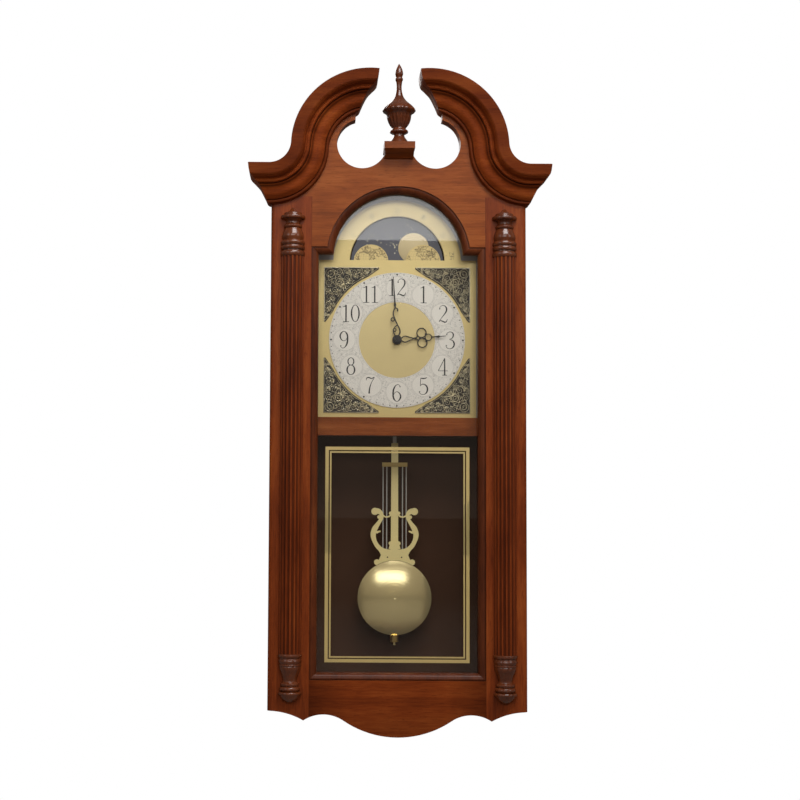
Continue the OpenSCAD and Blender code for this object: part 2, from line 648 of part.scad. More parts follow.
minute_angle = 93.7;
hour_angle = 4.9;
module hand_at(y, a) slab(y, y + hand_t) translate([0, dial_z]) rotate(a) children();
module hour_hand() color(black) placed() hand_at(hour_y, hour_angle) hour_outline();
module minute_hand() color(black) placed() hand_at(minute_y, minute_angle) minute_outline();
module hour_pipe() color(brass) placed() difference() {
    rod_y(0, dial_z, hour_y - 0.4, movement_y[0] + 6, pipe_r);
    rod_y(0, dial_z, hour_y - 2, movement_y[0] + 8, arbor_r + running_fit);
}
module minute_arbor() color(silver) placed() rod_y(0, dial_z, minute_y - 1.6, movement_y[1] + 3, arbor_r);
module hand_nut() color(black) placed() difference() {
    union() {
        rod_y(0, dial_z, minute_y - 1.8, minute_y - 0.02, 3.4);
        rod_y(0, dial_z, minute_y - 2.6, minute_y - 1.7, 2.4);
    }
    rod_y(0, dial_z, minute_y - 1.6, minute_y + 1, arbor_r);
}
module set_knob() color("#d8d4c8") placed() difference() {
    rod_y(0, dial_z, movement_y[1] + 0.6, movement_y[1] + 7, 9);
    rod_y(0, dial_z, movement_y[1], movement_y[1] + 3, arbor_r);
    for (a = [0 : 20 : 340]) rod_y(9.5 * cos(a), dial_z + 9.5 * sin(a), movement_y[1], movement_y[1] + 8, 1);
}

// ---- moon ----
module moon_arbor() color(brass) placed() rod_y(0, moon_z, 36.2, movement_y[0] + 9, moon_pin_r);
module moon_disc() color("#46566a") placed() turned_y(0, 37, moon_z)
    polygon([[moon_pin_r + running_fit, -1.4], [6, -1.4], [6, 0], [61.5, 0], [61.5, 0.8],
        [moon_pin_r + running_fit, 0.8]]);

// ---- pendulum ----
module pendulum_leader() color(silver) placed() slab(pend_y - strip_t / 2, pend_y + strip_t / 2)
    difference() {
        union() {
            translate([0, pivot_z]) circle(5);
            translate([-2.5, 366]) square([5, pivot_z - 366]);
        }
        translate([0, pivot_z]) circle(1.5 + running_fit);
    }
rod_top = 380;
module pendulum_rod() color(brass) placed() {
    slab(strip_front, pend_y - strip_t / 2)
        polygon([[-5.4, rod_bottom], [5.4, rod_bottom], [4.5, rod_top], [-4.5, rod_top]]);
    translate([0, pend_y - strip_t / 2 - 0.7, nut_z - 8])
        cylinder(h = rod_bottom + 0.4 - nut_z + 8, r = 1.4);
}
module pendulum_crossbar() color(brass) placed() slab(strip_front - 1.4, strip_front)
    translate([-17, crossbar_z - 2.8]) square([34, 5.6]);
module lyre_strings() color(silver) placed() for (x = [-15.6, -10.6, 10.6, 15.6])
    translate([x, strip_front + 0.8, lyre_bottom + 12])
        cylinder(h = crossbar_z + 1 - lyre_bottom - 12, r = 0.8);

lyre_outer = smooth([[17, 9], [20.5, 17], [27, 25], [32.2, 38], [30, 49], [23.6, 57], [19.8, 63],
    [20.6, 66.8], [24.6, 68]], 5);
lyre_inner = smooth([[26, 75.6], [20, 74.2], [16, 69.6], [15.2, 62.6], [19.6, 53.6], [24.2, 44], [25.2, 37],
    [22, 28], [14, 21.4], [0, 19.6]], 5);
lyre_t = 1.4;
// Half of the plate: arm, its curls, the foot, and the little links to the rod
module lyre_half() {
    polygon(concat([[0, 4], [17, 4]], lyre_outer, lyre_inner));
    translate([26.6, 71]) circle(4.8);
    translate([21, 63.4]) circle(2.4);
    translate([24.6, 42.6]) rotate(160) taper(0, 6, 3.4, 1.8);
    polygon([[12, 12], [18.6, 12], [21, 6], [23, -0.6], [12, 4]]);
    translate([23.6, 3]) circle(3.9);
    ribbon(smooth([[17, 66.6], [12, 63.6], [7, 64.6], [4, 68]], 4), 1.8);
    translate([5.2, 68.6]) circle(2.4);
    translate([5.4, 28.4]) circle(2.6);
    polygon([[0, 19], [8, 21], [6, 28], [0, 30]]);
}
module lyre_plate() color(brass) placed() slab(strip_front - lyre_t, strip_front) difference() {
    translate([0, lyre_bottom]) offset(delta = eps) both_sides_2d() lyre_half();
    translate([0, bob_z]) circle(bob_r + 0.4);
    for (x = [-9.5, 9.5]) translate([x, lyre_bottom + 9.6]) circle(1, $fn = 24);
}

bob_dome = 10;
dome_r = (bob_r * bob_r + bob_dome * bob_dome) / (2 * bob_dome);
dome_a = asin(bob_r / dome_r);
module bob_front() color(brass) placed() turned_y(0, strip_front - 0.4, bob_z) polygon(concat(
    [for (i = [0 : 12]) let (a = dome_a * i / 12) [dome_r * sin(a), bob_dome - dome_r * (1 - cos(a)) + 0.8]],
    [[bob_r, 0], [bob_r - 1.2, 0]],
    [for (i = [12 : -1 : 0]) let (a = dome_a * i / 12) [(dome_r - 1.2) * sin(a) * (bob_r - 1.2) /
        ((dome_r - 1.2) * sin(dome_a)), bob_dome - dome_r * (1 - cos(a)) - 0.2]]));
module bob_back() color(brass) placed() turned_y(0, pend_y + 6, bob_z) polygon(
    [[0, 0], [bob_r * 0.55, 0], [bob_r * 0.9, 3], [bob_r - 0.4, 6], [bob_r - 0.4, 6.8], [0, 6.8]]);
module rating_nut() color(brass) placed() translate([0, pend_y - strip_t / 2 - 0.7, nut_z - 4]) difference() {
    cylinder(h = 8, r = 5.4);
    translate([0, 0, -1]) cylinder(h = 10, r = 1.4 + running_fit);
    for (a = [0 : 30 : 330]) translate([5.8 * cos(a), 5.8 * sin(a), -1]) cylinder(h = 10, r = 0.7);
}

back_panel();
left_side_panel();
right_side_panel();
case_top();
case_bottom();
dial_battens();
dial_rail();
hanger_plate();
case_screws();
access_cover();
hinge_leaves_case();
hinge_pins();
catch_magnet();
speaker();
dial_plate();
chapter_ring();
centre_disc();
spandrels();
dial_screws();
movement_case();
movement_nut();
batteries();
left_stile();
right_stile();
pediment_board();
apron_rail();
sight_moulding();
door_glass();
glass_retainers();
left_column();
right_column();
column_capitals();
column_bases();
left_swan_neck();
right_swan_neck();
finial_block();
finial();
hinge_leaves_door();
strike_plate();
minute_hand();
minute_arbor();
hand_nut();
set_knob();
hour_hand();
hour_pipe();
moon_arbor();
moon_disc();
pendulum_leader();
pendulum_rod();
pendulum_crossbar();
lyre_strings();
lyre_plate();
bob_front();
bob_back();
rating_nut();
chime_selector();
volume_knob();
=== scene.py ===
# Pendulum wall clock with a swan-neck pediment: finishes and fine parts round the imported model
import math
import random

import bpy
from mathutils import Matrix, Vector


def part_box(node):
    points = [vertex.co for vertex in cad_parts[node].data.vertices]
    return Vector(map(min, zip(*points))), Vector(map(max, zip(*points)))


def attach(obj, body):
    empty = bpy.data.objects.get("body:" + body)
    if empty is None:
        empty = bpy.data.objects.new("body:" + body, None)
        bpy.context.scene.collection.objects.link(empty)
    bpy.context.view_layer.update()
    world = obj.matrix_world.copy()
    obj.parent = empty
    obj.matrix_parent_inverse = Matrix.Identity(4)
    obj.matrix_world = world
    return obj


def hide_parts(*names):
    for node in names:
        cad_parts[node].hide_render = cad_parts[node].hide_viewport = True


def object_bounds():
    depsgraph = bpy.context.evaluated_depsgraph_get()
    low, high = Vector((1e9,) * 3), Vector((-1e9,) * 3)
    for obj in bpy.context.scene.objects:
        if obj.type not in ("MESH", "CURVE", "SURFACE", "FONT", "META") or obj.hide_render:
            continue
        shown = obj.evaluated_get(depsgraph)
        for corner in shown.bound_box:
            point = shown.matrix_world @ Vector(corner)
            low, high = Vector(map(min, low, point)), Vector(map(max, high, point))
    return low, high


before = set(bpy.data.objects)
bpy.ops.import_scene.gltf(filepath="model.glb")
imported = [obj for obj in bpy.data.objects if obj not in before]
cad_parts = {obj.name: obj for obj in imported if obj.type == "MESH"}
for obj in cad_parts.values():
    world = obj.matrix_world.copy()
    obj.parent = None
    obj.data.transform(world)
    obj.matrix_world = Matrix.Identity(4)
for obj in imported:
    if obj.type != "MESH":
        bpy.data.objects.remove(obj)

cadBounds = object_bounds()
mm = 0.001


def middle(node):
    low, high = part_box(node)
    return (low + high) / 2


# Helpers for modelling
def deselect():
    if bpy.context.object and bpy.context.object.mode != "OBJECT":
        bpy.ops.object.mode_set(mode="OBJECT")
    bpy.ops.object.select_all(action="DESELECT")


def pick(piece):
    deselect()
    piece.select_set(True)
    bpy.context.view_layer.objects.active = piece


def settle(piece):            # place, turn and size go into the mesh, and the object to the origin
    pick(piece)
    bpy.ops.object.transform_apply(location=True, rotation=True, scale=True)


def newest(name):
    piece = bpy.context.object
    piece.name = name
    piece.data.name = name
    return piece


def joined(name, pieces):
    deselect()
    for piece in pieces:
        piece.select_set(True)
    bpy.context.view_layer.objects.active = pieces[0]
    if len(pieces) > 1:
        bpy.ops.object.join()
    return newest(name)


def softened(piece, angle=35):
    pick(piece)
    bpy.ops.object.shade_smooth_by_angle(angle=math.radians(angle))


def applied(piece, kind, **settings):
    pick(piece)
    modifier = piece.modifiers.new(kind.title(), kind)
    for key, value in settings.items():
        setattr(modifier, key, value)
    bpy.ops.object.modifier_apply(modifier=modifier.name)


def outwards(piece):
    pick(piece)
    bpy.ops.object.mode_set(mode="EDIT")
    bpy.ops.mesh.select_all(action="SELECT")
    bpy.ops.mesh.remove_doubles(threshold=1e-6)
    bpy.ops.mesh.normals_make_consistent(inside=False)
    bpy.ops.object.mode_set(mode="OBJECT")


def dress(piece, body, finish):
    piece.data.materials.clear()
    piece.data.materials.append(finish.material)
    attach(piece, body)
    return piece


def flowing(points, steps):   # smooth run through points, each a tuple of numbers
    run = []
    for i in range(len(points) - 1):
        a, b = points[max(i - 1, 0)], points[i]
        c, d = points[i + 1], points[min(i + 2, len(points) - 1)]
        for j in range(steps):
            t = j / steps
            run.append(tuple(0.5 * (2 * q + (r - p) * t + (2 * p - 5 * q + 4 * r - s) * t * t
                                    + (3 * q - p - 3 * r + s) * t ** 3) for p, q, r, s in zip(a, b, c, d)))
    return run + [points[-1]]


# Drawn strokes: each point is (x, z, half width) in metres on a plane at depth y, low-relief and round-topped
def drawn(name, strokes, y, relief):
    curve = bpy.data.curves.new(name, "CURVE")
    curve.dimensions = "3D"
    curve.bevel_depth = 1
    curve.bevel_resolution = 1
    curve.use_fill_caps = True
    for stroke in strokes:
        spline = curve.splines.new("POLY")
        spline.points.add(len(stroke) - 1)
        for point, (x, z, half) in zip(spline.points, stroke):
            point.co = (x, 0, z, 1)
            point.radius = half
    piece = bpy.data.objects.new(name, curve)
    bpy.context.scene.collection.objects.link(piece)
    pick(piece)
    bpy.ops.object.convert(target="MESH")
    piece = newest(name)
    thick = max(abs(v.co.y) for v in piece.data.vertices)
    piece.data.transform(Matrix.Translation((0, y, 0)) @ Matrix.Diagonal((1, relief / thick, 1, 1)))
    softened(piece, 60)
    return piece


class Signal:                 # one output of a shader node; sums on it add Math nodes
    def __init__(self, finish, socket):
        self.finish, self.socket = finish, socket

    def sum(self, operation, *values):
        return self.finish.node("ShaderNodeMath", {"operation": operation}, dict(enumerate(values)))

    def __add__(self, other):
        return self.sum("ADD", self, other)

    def __sub__(self, other):
        return self.sum("SUBTRACT", self, other)

    def __rsub__(self, other):
        return self.sum("SUBTRACT", other, self)

    def __mul__(self, other):
        return self.sum("MULTIPLY", self, other)

    def __truediv__(self, other):
        return self.sum("DIVIDE", self, other)

    def __pow__(self, other):
        return self.sum("POWER", self, other)

    def __lt__(self, other):
        return self.sum("LESS_THAN", self, other)

    def __gt__(self, other):
        return self.sum("GREATER_THAN", self, other)

    __radd__, __rmul__ = __add__, __mul__

    def size(self):
        return self.sum("ABSOLUTE", self)

    def least(self, other):
        return self.sum("MINIMUM", self, other)

    def most(self, other):
        return self.sum("MAXIMUM", self, other)

    def other(self, name):    # another output of the same node
        return Signal(self.finish, self.socket.node.outputs[name])


class Finish:
    def __init__(self, name, color=(0.5, 0.5, 0.5), rough=0.5, metal=0.0, **fixed):
        self.material = bpy.data.materials.new(name)
        self.material.use_nodes = True
        self.tree = self.material.node_tree
        self.shader = self.tree.nodes["Principled BSDF"]
        self.feed(**{"Base Color": color, "Roughness": rough, "Metallic": metal, **fixed})

    def put(self, socket, value):
        if isinstance(value, Signal):
            self.tree.links.new(value.socket, socket)
        elif hasattr(value, "__len__") and len(value) == 3 and len(socket.default_value) == 4:
            socket.default_value = (*value, 1)
        else:
            socket.default_value = value

    def feed(self, **values):
        for name, value in values.items():
            self.put(self.shader.inputs[name], value)

    def node(self, kind, settings=None, sockets=None, output=0):
        made = self.tree.nodes.new(kind)
        for key, value in (settings or {}).items():
            if key == "stops":
                while len(made.color_ramp.elements) < len(value):
                    made.color_ramp.elements.new(0.5)
                for element, (place, colour) in zip(made.color_ramp.elements, value):
                    element.position, element.color = place, (*colour, 1)
            else:
                setattr(made, key, value)
        for key, value in (sockets or {}).items():
            self.put(made.inputs[key], value)
        return Signal(self, made.outputs[output])

    def place(self, shift=(0, 0, 0), scale=(1, 1, 1)):
        point = self.node("ShaderNodeTexCoord", output="Object")
        return self.node("ShaderNodeMapping", None, {"Vector": point, "Location": shift, "Scale": scale})

    def axes(self, shift=(0, 0, 0)):
        parted = self.node("ShaderNodeSeparateXYZ", None, {"Vector": self.place(shift)})
        return parted, parted.other("Y"), parted.other("Z")

    def noise(self, where, scale, detail=2.0, rough=0.5, twist=0.0):
        return self.node("ShaderNodeTexNoise", None, {"Vector": where, "Scale": scale, "Detail": detail,
                                                      "Roughness": rough, "Distortion": twist})

    def ramp(self, value, stops):
        return self.node("ShaderNodeValToRGB", {"stops": stops}, {"Fac": value})

    def snapped(self, value, step):             # distance of a value from the nearest whole step
        nearest = self.node("ShaderNodeMath", {"operation": "SNAP"}, {0: value + step / 2, 1: step})
        return value - nearest

    def blend(self, amount, first, second):
        return self.node("ShaderNodeMix", {"data_type": "RGBA"}, {0: amount, 6: first, 7: second}, 2)

    def over(self, amount, colour):             # a colour laid over the base colour
        base = Signal(self, self.shader.inputs["Base Color"].links[0].from_socket)
        self.feed(**{"Base Color": self.blend(amount, base, colour)})

    def bump(self, height, strength, distance):
        shape = {"Height": height, "Strength": strength, "Distance": distance}
        self.feed(Normal=self.node("ShaderNodeBump", None, shape))


woodTones = {
    "board": ((0.095, 0.021, 0.004), (0.235, 0.055, 0.010), (0.38, 0.110, 0.024)),
    "cherry": ((0.080, 0.013, 0.003), (0.205, 0.038, 0.007), (0.33, 0.078, 0.015)),
    "deep": ((0.040, 0.009, 0.004), (0.105, 0.024, 0.007), (0.19, 0.048, 0.012)),
    # shade is this wood darkened as painted shade, for parts that sit in shadow inside the case
    "shade": ((0.018, 0.006, 0.003), (0.040, 0.013, 0.006), (0.066, 0.021, 0.010)),
}


lacquers = {                  # roughness, reflection, clear coat
    "satin": (0.38, 0.10, 0.03),
    "moulded": (0.34, 0.13, 0.05),
    "rubbed": (0.50, 0.05, 0.0),
    "polished": (0.20, 0.45, 0.30),
}


def along(axis, squeeze):     # scale of a pattern that is drawn out along one axis
    scale = [1.0, 1.0, 1.0]
    scale["xyz".index(axis)] = squeeze
    return scale


woodGrain = {"squeeze": 0.075, "figure": 46, "fibre": 520, "cloud": 11, "pores": 1150,
             "poreShare": 0.66, "relief": 0.12 * mm}


# Stained wood under lacquer: grain is the axis that it runs along, and hollow(finish) says where the colour
# is darkened:
# glaze at joints, painted shade in grooves and flutes, and darker edges
def wood(name, tone, grain, seed, hollow=None, lacquer="satin"):
    gloss, shine, coating = lacquers[lacquer]
    finish = Finish(name, rough=gloss, **{"Specular IOR Level": shine, "Coat Weight": coating,
                                          "Coat Roughness": 0.1})
    shift = (seed * 0.317, seed * 0.193, seed * 0.271)
    board = finish.place(shift, along(grain, woodGrain["squeeze"]))
    figure = finish.noise(board, woodGrain["figure"], 5, 0.62, 0.5)
    fibre = finish.noise(board, woodGrain["fibre"], 2, 0.6)
    cloud = finish.noise(finish.place(shift), woodGrain["cloud"], 2)
    dark, mid, light = woodTones[tone]
    colour = finish.ramp(figure * 0.6 + fibre * 0.25 + cloud * 0.35 - 0.1,
                         [(0.3, dark), (0.5, mid), (0.72, light)])
    pores = finish.noise(board, woodGrain["pores"], 1) > woodGrain["poreShare"]
    colour = finish.blend(pores * 0.45, colour, dark)
    if hollow:
        colour = finish.blend(hollow(finish), colour, tuple(c * 0.3 for c in dark))
    finish.feed(**{"Base Color": colour, "Roughness": gloss - 0.06 + fibre * 0.14})
    finish.bump(fibre * 0.6 - pores * 0.5, 0.25, woodGrain["relief"])
    return finish


def band(value, centre, width):     # 1 at the centre, falling to 0 at the width
    return 1 - ((value - centre).size() / width).least(1)


metalMarks = {"cloud": 60, "rings": 3600, "brushed": 2600, "cast": 900, "squeeze": 0.01, "relief": 0.02 * mm}


# Brushed or spun metal: the fine marks run along an axis, or in rings about a centre
def metal(name, colour, rough, marks=None, centre=(0, 0, 0), depth=0.35, tint=0.12, level=1.0):
    finish = Finish(name, colour, rough, level)
    x, y, z = finish.axes(tuple(-c for c in centre))
    cloud = finish.noise(finish.place(), metalMarks["cloud"], 3)
    if marks == "rings":
        radius = finish.node("ShaderNodeCombineXYZ", None, {"X": (x * x + z * z) ** 0.5})
        line = finish.noise(radius, metalMarks["rings"], 3, 0.8)
    elif marks:
        brushed = finish.place(scale=along(marks, metalMarks["squeeze"]))
        line = finish.noise(brushed, metalMarks["brushed"], 3, 0.8)
    else:
        line = finish.noise(finish.place(), metalMarks["cast"], 3, 0.6)
    finish.feed(**{"Base Color": finish.blend(cloud * tint * 2 + line * tint, colour,
                                              tuple(c * 0.62 for c in colour)),
                   "Roughness": rough * 0.85 + cloud * rough * 0.3})
    finish.bump(line, depth, metalMarks["relief"])
    return finish


# Moulded plastic, painted board and the like: a fine surface and slight unevenness of colour
def plain(name, colour, rough, grain=1500, depth=0.15, **fixed):
    finish = Finish(name, colour, rough, **fixed)
    speck = finish.noise(finish.place(), grain, 3, 0.6)
    cloud = finish.noise(finish.place(), 40, 2)
    shade = finish.blend(speck * 0.35 + cloud * 0.25, colour, tuple(c * 0.7 for c in colour))
    finish.feed(**{"Base Color": shade, "Roughness": rough - 0.05 + speck * 0.1})
    finish.bump(speck, depth, 0.05 * mm)
    return finish


studio = {
    "cameraPlace": (-0.110, -2.0096, -0.3869),
    "cameraPitch": 3.9, "cameraRoll": 0.37, "lens": 65.8, "shiftX": 0.108,
    "floorDrop": 0.09, "floorSize": 60,
    "skyForCamera": (1, 1, 1), "skyForObject": (0.22, 0.185, 0.155),
    # place, width, height, watts, what it points at
    "lights": {
        "overheadSoftbox": ((0.3, -1.1, 1.2), 1.1, 0.7, 23, (0, 0, -0.1)),
        "farSoftbox": ((-0.1, -3.6, 1.04), 2.6, 0.9, 27, (0, 0, 0.2)),
        "leftSoftbox": ((-2.2, -2.0, 0.9), 0.8, 1.2, 6, (0, 0, -0.1)),
        "rightSoftbox": ((2.3, -1.9, 0.8), 0.8, 1.2, 8, (0, 0, -0.1)),
        "rearSoftbox": ((-0.9, 2.4, 1.3), 2.2, 1.4, 30, (0, 0, -0.3)),
    },
}


def makeCamera():
    camera = bpy.data.objects.new("camera", bpy.data.cameras.new("camera"))
    camera.data.lens = studio["lens"]
    camera.data.shift_x = studio["shiftX"]
    camera.location = studio["cameraPlace"]
    turn = Matrix.Rotation(math.radians(90 + studio["cameraPitch"]), 4, "X")
    roll = Matrix.Rotation(math.radians(studio["cameraRoll"]), 4, "Z")
    camera.rotation_euler = (turn @ roll).to_euler()
    bpy.context.scene.collection.objects.link(camera)
    bpy.context.scene.camera = camera


def makeLights():
    for name, (place, width, height, watts, aim) in studio["lights"].items():
        lamp = bpy.data.lights.new(name, "AREA")
        lamp.shape, lamp.size, lamp.size_y, lamp.energy = "RECTANGLE", width, height, watts
        holder = bpy.data.objects.new(name, lamp)
        holder.location = place
        holder.rotation_euler = (Vector(aim) - Vector(place)).to_track_quat("-Z", "Y").to_euler()
        bpy.context.scene.collection.objects.link(holder)
    world = bpy.data.worlds.new("studio")
    bpy.context.scene.world = world
    world.use_nodes = True
    nodes, links = world.node_tree.nodes, world.node_tree.links
    path = nodes.new("ShaderNodeLightPath")
    colour = nodes.new("ShaderNodeMix")
    colour.data_type = "RGBA"
    colour.inputs[6].default_value = (*studio["skyForObject"], 1)
    colour.inputs[7].default_value = (*studio["skyForCamera"], 1)
    links.new(path.outputs["Is Camera Ray"], colour.inputs[0])
    links.new(colour.outputs[2], nodes["Background"].inputs["Color"])
    nodes["Background"].inputs["Strength"].default_value = 1


def makeFloor():              # pale sweep: it looks as white as the sky and bounces little light
    deselect()
    low = cadBounds[0].z - studio["floorDrop"]
    bpy.ops.mesh.primitive_plane_add(size=studio["floorSize"], location=(0, 0, low))
    floor = newest("floor")
    paint = plain("palePaint", (0.24, 0.22, 0.20), 0.85, 40, 0.02)
    glow = paint.node("ShaderNodeEmission", None, {"Color": studio["skyForCamera"]})
    seen = paint.node("ShaderNodeLightPath")
    diffuse = Signal(paint, paint.shader.outputs[0])
    mixed = paint.node("ShaderNodeMixShader", None, {0: seen, 1: diffuse, 2: glow})
    paint.put(paint.tree.nodes["Material Output"].inputs["Surface"], mixed)
    floor.data.materials.append(paint.material)


makeCamera()
makeLights()
makeFloor()
bpy.context.scene.view_settings.view_transform = "Standard"
print("camera, lights and floor are set")

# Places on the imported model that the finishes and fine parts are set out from
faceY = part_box("left_stile")[0].y                    # front face of the boards
dialCentre = middle("chapter_ring")
ringOut = (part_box("chapter_ring")[1].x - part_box("chapter_ring")[0].x) / 2
ringIn = (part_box("centre_disc")[1].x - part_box("centre_disc")[0].x) / 2
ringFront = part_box("chapter_ring")[0].y
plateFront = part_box("dial_plate")[0].y
moonCentre = middle("moon_disc")

moonArch = {
    "fieldHalf": 105 * mm, "fieldRadius": 85 * mm, "skyRadius": 63.2 * mm, "flatAbove": 4.2 * mm,
    "humpX": 34.7 * mm, "humpDrop": 2 * mm, "humpRadius": 23 * mm,
    "dayRadius": 66.6 * mm, "numeralRadius": 71.7 * mm, "numeralHeight": 6.4 * mm, "degreesPerDay": 5.75,
    "monthEnd": 14.2, "monthTurn": 84, "mapRim": 1.1 * mm, "mapFilm": 0.16 * mm,
    "moonX": 22 * mm, "moonZ": 21 * mm, "moonRadius": 20.5 * mm,
}
flatZ = moonCentre.z + moonArch["flatAbove"]
humpZ = flatZ - moonArch["humpDrop"]


neckShadeAndCrown = {"quirk": (14.1 * mm, 1.6 * mm), "bead": (5.2 * mm, 2.0 * mm), "crownFrom": 27 * mm}


def neckGlaze(finish):        # painted shade lies dark in the quirk and along the bottom bead, and the crown is darker
    x, y, z = finish.axes()
    proud = faceY - y
    grooves = band(proud, *neckShadeAndCrown["quirk"]) + band(proud, *neckShadeAndCrown["bead"])
    crown = (proud > neckShadeAndCrown["crownFrom"]) * 0.4
    return (grooves.least(1) * 0.75).most(crown)


def fluteGlaze(node):         # painted shade lies dark in the flutes of a column, which are 1.5 mm deep
    low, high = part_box(node)
    fluteDepth = 1.5 * mm

    def hollow(finish):
        x, y, z = finish.axes((-(low.x + high.x) / 2, -faceY, 0))
        depth = (high.x - low.x) / 2 - (x * x + y * y) ** 0.5
        return (depth / fluteDepth).least(1).most(0) * 0.7
    return hollow


def stileGlaze(node):         # dark line at the joint with the rails
    low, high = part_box(node)
    joint = high.x if low.x < 0 else low.x

    def hollow(finish):
        x, y, z = finish.axes()
        return band(x, joint, 0.9 * mm) * 0.8
    return hollow


def apronGlaze(finish):       # darker towards the ends and the scalloped edge
    low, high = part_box("apron_rail")
    x, y, z = finish.axes((-(low.x + high.x) / 2, 0, -high.z))
    tonedEnd = 50 * mm
    ends = ((x.size() - (high.x - low.x) / 2 + tonedEnd) / (1.2 * tonedEnd)).most(0)
    edge = (z.size() / (high.z - low.z) - 0.35).most(0)
    return (ends * 0.6 + edge * 0.45).least(0.7)


def boardGlaze(finish):       # glued joint at each end of the pediment board, just below the capitals' tops
    jointDrop, jointFrom = 8 * mm, 60 * mm
    x, y, z = finish.axes((0, 0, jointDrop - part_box("column_capitals")[1].z))
    wavy = finish.noise(finish.place(), 20, 2) * 2 * mm
    return band(z, wavy, 0.8 * mm) * (x.size() > jointFrom) * 0.5


def goldField(finish):        # 1 on the gold of the dial plate, 0 on the grey margin outside it, which is painted shade from the door's arch
    x, y, z = finish.axes((0, 0, -moonCentre.z))
    square = (x.size() < moonArch["fieldHalf"]) * (z < moonArch["flatAbove"])
    arch = (x * x + z * z) ** 0.5 < moonArch["fieldRadius"]
    return square.most(arch)


def dialGold():
    finish = metal("dialGold", (0.71, 0.55, 0.235), 0.34, "x", depth=0.2)
    gold = goldField(finish)
    # painted shade: grey outside the gold field, standing for the shadow of the door's arch on the dial
    finish.over(1 - gold, (0.29, 0.26, 0.25))
    finish.feed(Metallic=gold * 0.3 + 0.1)
    return finish


ringEngraving = {"hourRadius": 70 * mm, "innerCircle": (14.5 * mm, 0.45 * mm),
                 "outerCircle": (15.8 * mm, 0.35 * mm), "outerEdge": 1.2 * mm, "innerEdge": 1.4 * mm,
                 "edgeLine": 0.3 * mm}


# Silvered ring: rings round each hour, and scrolled engraving between them
def ringSilver():
    finish = metal("ringSilver", (0.84, 0.79, 0.72), 0.34, "rings", dialCentre, 0.22)
    x, y, z = finish.axes(tuple(-c for c in dialCentre))
    radius = (x * x + z * z) ** 0.5
    angle = finish.node("ShaderNodeMath", {"operation": "ARCTAN2"}, {0: z, 1: x})
    turn = finish.snapped(angle, math.tau / 12)
    away = ((radius - ringEngraving["hourRadius"]) ** 2 + (turn * radius) ** 2) ** 0.5
    outside = away > ringEngraving["innerCircle"][0]
    circles = band(away, *ringEngraving["innerCircle"]).most(band(away, *ringEngraving["outerCircle"]) * 0.6)
    vine = finish.noise(finish.place(), 330, 1.5, 0.5, 1.2)
    leaf = finish.noise(finish.place((0.3, 0.1, 0.2)), 620, 1, 0.5, 0.6)
    scroll = (band(vine, 0.5, 0.035).most(leaf > 0.64)) * outside
    outer = band(radius, ringOut - ringEngraving["outerEdge"], ringEngraving["edgeLine"])
    inner = band(radius, ringIn + ringEngraving["innerEdge"], ringEngraving["edgeLine"])
    edges = outer.most(inner)
    cut = (scroll * 0.42).most(circles * 0.4).most(edges * 0.6)
    finish.over(cut, (0.10, 0.09, 0.085))
    finish.feed(Metallic=0.12 - cut * 0.1)
    return finish


def nightSky():               # blue-grey enamel with a faint speckle
    return plain("nightSky", (0.085, 0.085, 0.11), 0.4, 300, 0.05, metal=0.1)


def engravedMap():            # hemisphere cut in gold: a grid of meridians, coastlines and hatching
    finish = metal("engravedMap", (0.72, 0.55, 0.24), 0.36, "x", depth=0.15, level=0.3)
    x, y, z = finish.axes((0, 0, -humpZ))
    across = x.size() - moonArch["humpX"]
    bulge = (1 - (z / moonArch["humpRadius"]) ** 2).most(0.05) ** 0.5
    gridStep, gridLine = 3.5 * mm, 0.22 * mm
    meridian = finish.snapped(across / bulge, gridStep)
    parallel = finish.snapped(z, gridStep)
    grid = band(meridian, 0, gridLine).most(band(parallel, 0, gridLine)) * 0.45
    land = finish.noise(finish.place((0.13, 0, 0.05)), 75, 4, 0.62)
    coast = band(land, 0.52, 0.03)
    hatch = (land > 0.53) * (finish.noise(finish.place(), 700, 2) > 0.5) * 0.55
    cut = grid.most(coast).most(hatch)
    finish.over(cut, (0.07, 0.045, 0.02))
    return finish


def clearGlass():             # light goes straight through, and a faint mirror grows at a glancing angle
    finish = Finish("clearGlass")
    finish.tree.nodes.remove(finish.shader)
    mirror = finish.node("ShaderNodeBsdfGlossy", None, {"Roughness": 0.015})
    through = finish.node("ShaderNodeBsdfTransparent", None, {"Color": (0.985, 0.99, 0.985)})
    facing = finish.node("ShaderNodeLayerWeight", None, {"Blend": 0.5}, "Facing")
    mixed = finish.node("ShaderNodeMixShader", None, {0: facing ** 5 * 0.9 + 0.034, 1: through, 2: mirror})
    finish.put(finish.tree.nodes["Material Output"].inputs["Surface"], mixed)
    return finish


